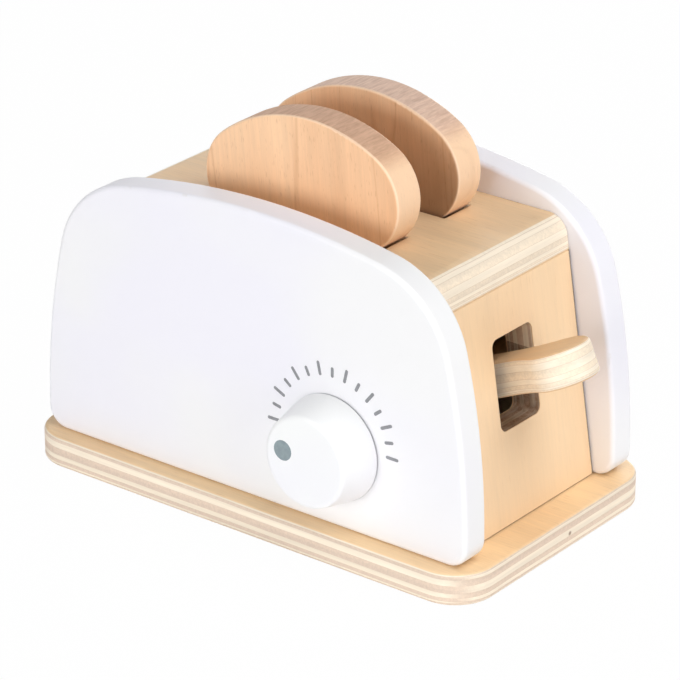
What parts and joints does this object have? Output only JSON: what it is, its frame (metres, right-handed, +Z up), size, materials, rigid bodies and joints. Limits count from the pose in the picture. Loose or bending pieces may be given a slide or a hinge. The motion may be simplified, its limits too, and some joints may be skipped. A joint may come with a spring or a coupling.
{
  "type": "toy toaster",
  "caption": "Wooden toy toaster with arched side panels, a leaning-ended box, lift-out toast slices on a rising board, a turning dial knob and a rocking push lever.",
  "frame": {"origin": "centre of the base's underside", "axes": "+X along the length towards the lever, -Y out of the dial side, +Z up"},
  "size_m": [0.211, 0.124, 0.1485],
  "materials": {
    "base_plywood": "satin",
    "body_plywood": "satin",
    "top_plywood": "satin",
    "lever_plywood": "satin",
    "toast_beech": "matte",
    "dowel_wood": "matte",
    "strip_wood": "matte",
    "white_paint": "matte paint",
    "knob_paint": "matte paint",
    "steel": "satin",
    "fibre": "matte"
  },
  "bodies": {
    "housing": {"base_plate": "base_plywood", "front_panel": "white_paint", "back_panel": "white_paint", "left_end_panel": "body_plywood", "right_end_panel": "body_plywood", "top_panel": "top_plywood", "lever_pivot_dowel": "dowel_wood", "pivot_spacer_front": "dowel_wood", "pivot_spacer_rear": "dowel_wood", "front_guide_strips": "strip_wood", "rear_guide_strips": "strip_wood", "knob_washer": "steel", "knob_spacer": "fibre", "base_screws": "steel", "front_panel_dowels": "dowel_wood", "back_panel_dowels": "dowel_wood", "top_panel_dowels": "dowel_wood"},
    "dial_knob": {"dial_knob": "knob_paint", "knob_screw": "steel"},
    "lever": {"lever": "lever_plywood", "lift_dowel": "dowel_wood"},
    "toast_rest": {"toast_rest": "body_plywood"},
    "toast_slice_front": {"toast_slice_front": "toast_beech"},
    "toast_slice_rear": {"toast_slice_rear": "toast_beech"}
  },
  "joints": [
    {"name": "lever_hinge", "type": "hinge", "parent": "housing", "child": "lever", "pos_m": [0.056, 0, 0.0535], "axis": [0, 1, 0], "range_deg": [0, 26]},
    {"name": "toast_lift", "type": "slide", "parent": "housing", "child": "toast_rest", "axis": [0, 0, 1], "range_m": [0, 0.0243]},
    {"name": "knob_turn", "type": "hinge", "parent": "housing", "child": "dial_knob", "pos_m": [0.0377, -0.051, 0.0424], "axis": [0, -1, 0], "continuous": true},
    {"name": "front_slice_lift_out", "type": "slide", "parent": "toast_rest", "child": "toast_slice_front", "axis": [-0.0993, 0, 0.9951], "range_m": [0, 0.075]},
    {"name": "rear_slice_lift_out", "type": "slide", "parent": "toast_rest", "child": "toast_slice_rear", "axis": [-0.0698, 0, 0.9976], "range_m": [0, 0.075]}
  ],
  "couplings": [
    {"joint": "toast_lift", "follows": "lever_hinge", "m_per_rad": 0.0533}
  ]
}
